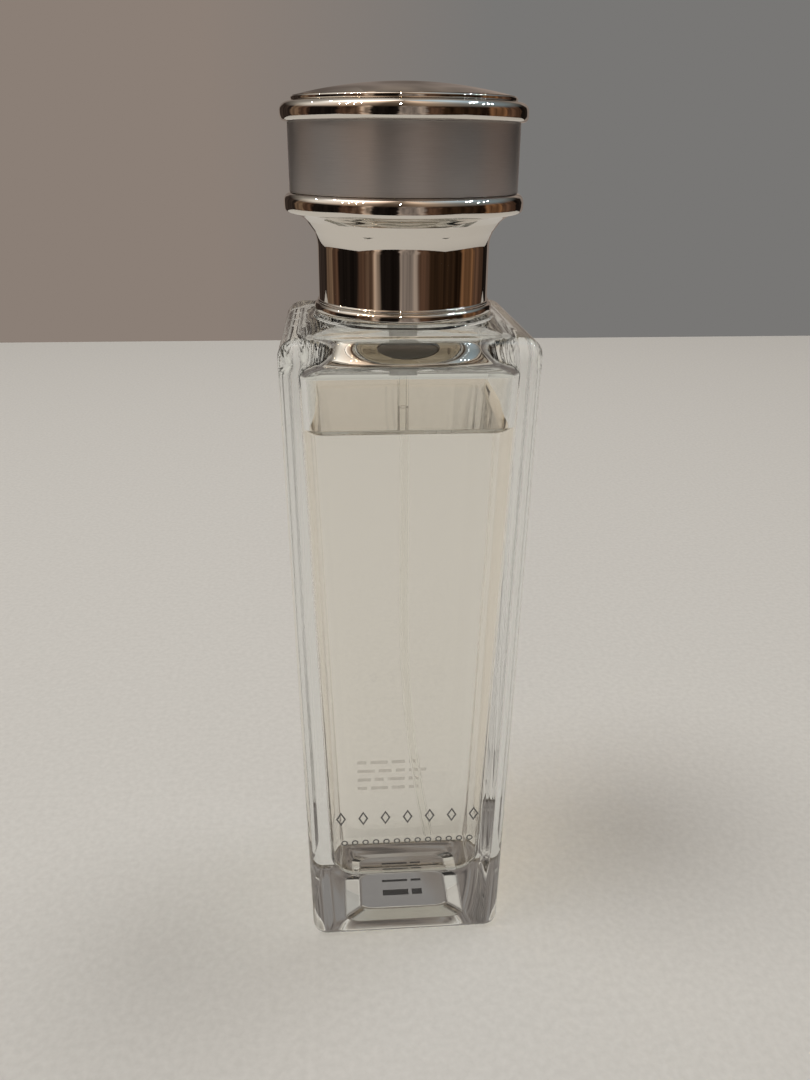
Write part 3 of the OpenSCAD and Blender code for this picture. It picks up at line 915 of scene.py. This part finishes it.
# 0 towards -Y, positive to +X
azimuth = world_math("ARCTAN2", side, world_math("MULTIPLY", ahead, -1.0))
turn = world_math("ADD", world_math("DIVIDE", azimuth, 2 * math.pi), 0.5)
elevation = world_math("DIVIDE", world_math("ARCSINE", up), math.pi / 2)

BROWN = (0.065, 0.037, 0.024)
DARK = (0.008, 0.006, 0.005)
TAN = (0.15, 0.10, 0.065)
GREY = (0.2, 0.17, 0.15)
PALE = (0.42, 0.33, 0.26)
AMBER = (0.115, 0.06, 0.03)
SOOT = (0.03, 0.022, 0.018)
OAK = (0.12, 0.075, 0.05)
COFFEE = (0.02, 0.011, 0.006)
# What the polished parts mirror round the horizon: each stripe starts at its azimuth in degrees
STRIPES = [
    (-180, GREY), (-164, SOOT), (-128, TAN), (-112, BROWN), (-99, DARK), (-66, BROWN), (-52, OAK),
    (-43, PALE), (-35, DARK), (-8, GREY), (16, BROWN), (30, COFFEE), (78, AMBER), (104, BROWN),
    (128, DARK), (150, GREY),
]
SOFT_EDGE = 4.0                       # degrees over which one stripe turns into the next
STREAKS = [(0.3, (0.46, 0.43, 0.41)), (0.5, (1.1, 1.06, 1.04)), (0.7, (1.9, 1.8, 1.7))]
stripe_stops = [(0, STRIPES[0][1])]
for (_, before), (start, colour) in zip(STRIPES, STRIPES[1:]):
    at = (start + 180) / 360
    stripe_stops += [(at - SOFT_EDGE / 720, before), (at + SOFT_EDGE / 720, colour)]
# The stripes' edges waver a little, as in a real room
waver = world_math("MULTIPLY", world_math("ADD", world_noise((1, 1, 2.2), 3.2, 1.0), -0.5), 0.035)
stripes = world_ramp(world_math("ADD", turn, waver), stripe_stops, "EASE")
streak_light = world_ramp(world_noise((1, 1, 0.1), 9, 2.0), STREAKS)
horizon = world_tint(stripes, streak_light)

# What they mirror higher up: a colour for each elevation, times a light for each azimuth
UPPER = [(0.3, (0.13, 0.11, 0.09)), (0.5, (0.16, 0.14, 0.12)), (0.75, (0.42, 0.38, 0.34))]
AROUND = [
    (0.1, (1.8, 1.9, 2.0)), (0.2, (6.0, 6.5, 7.0)), (0.33, (4.0, 3.4, 3.0)),
    (0.43, (0.6, 0.5, 0.42)), (0.48, (0.6, 0.5, 0.42)), (0.55, (2.2, 1.8, 1.5)),
    (0.66, (1.2, 1.3, 1.4)), (0.8, (1.3, 1.9, 2.5)), (0.95, (1.0, 1.0, 1.0)),
]
upper = world_ramp(elevation, UPPER)
around = world_ramp(turn, AROUND)
above = world_past(elevation, 0.17)
mirrored = world_mix(above, horizon, world_tint(upper, around))

# The room: the wall seen straight, faint upright streaks in what the glass bends, and a pale horizon
WALL = [(0.38, (0.258, 0.212, 0.181)), (0.66, (0.188, 0.184, 0.178))]
THROUGH = [(0.36, (0.07, 0.06, 0.055)), (0.46, (0.145, 0.123, 0.11)), (0.54, (0.18, 0.155, 0.135)),
           (0.62, (0.205, 0.192, 0.183))]
HAZE = (0.60, 0.57, 0.51)
wall = world_ramp(world_math("ADD", side, 0.5), WALL)
through = world_ramp(world_noise((1, 1, 0.16), 13, 1.0), THROUGH)
path = world_node("ShaderNodeLightPath")
glossy = world_math("MULTIPLY", path.outputs["Is Glossy Ray"], path.outputs["Is Reflection Ray"])
raised = world_past(elevation, 0.12)
seen_through = world_math("MULTIPLY", path.outputs["Is Transmission Ray"], raised)
away = world_math("MULTIPLY", world_math("ABSOLUTE", elevation), 3.0, clamp=True)
near = world_math("SUBTRACT", 1.0, away)
hazy = world_math("MULTIPLY", path.outputs["Is Transmission Ray"], near)
room = world_mix(hazy, world_mix(seen_through, wall, through), HAZE)
background = world_node("ShaderNodeBackground")
wt.links.new(world_mix(glossy, room, mirrored), background.inputs["Color"])
wt.links.new(background.outputs[0], world_node("ShaderNodeOutputWorld").inputs["Surface"])

CAMERA_AT = Vector((0.5, -122.7, 117.5)) * MM
CAMERA_TURN, CAMERA_DOWN, CAMERA_ROLL = math.radians(-4.5), math.radians(23.96), math.radians(0.42)
camera_data = bpy.data.cameras.new("camera")
camera_data.lens = 30
camera_data.sensor_width = 36
camera_data.clip_start = 0.005
camera = bpy.data.objects.new("camera", camera_data)
bpy.context.scene.collection.objects.link(camera)
turned = Matrix.Rotation(CAMERA_TURN, 4, "Z")
tilted = Matrix.Rotation(math.pi / 2 - CAMERA_DOWN, 4, "X") @ Matrix.Rotation(CAMERA_ROLL, 4, "Z")
camera.matrix_world = turned @ Matrix.Translation(CAMERA_AT) @ tilted
bpy.context.scene.camera = camera

cycles = bpy.context.scene.cycles
cycles.max_bounces = 32
cycles.transmission_bounces = 32
cycles.transparent_max_bounces = 48
cycles.glossy_bounces = 8
cycles.caustics_refractive = True
cycles.caustics_reflective = False
bpy.context.scene.view_settings.view_transform = "Standard"
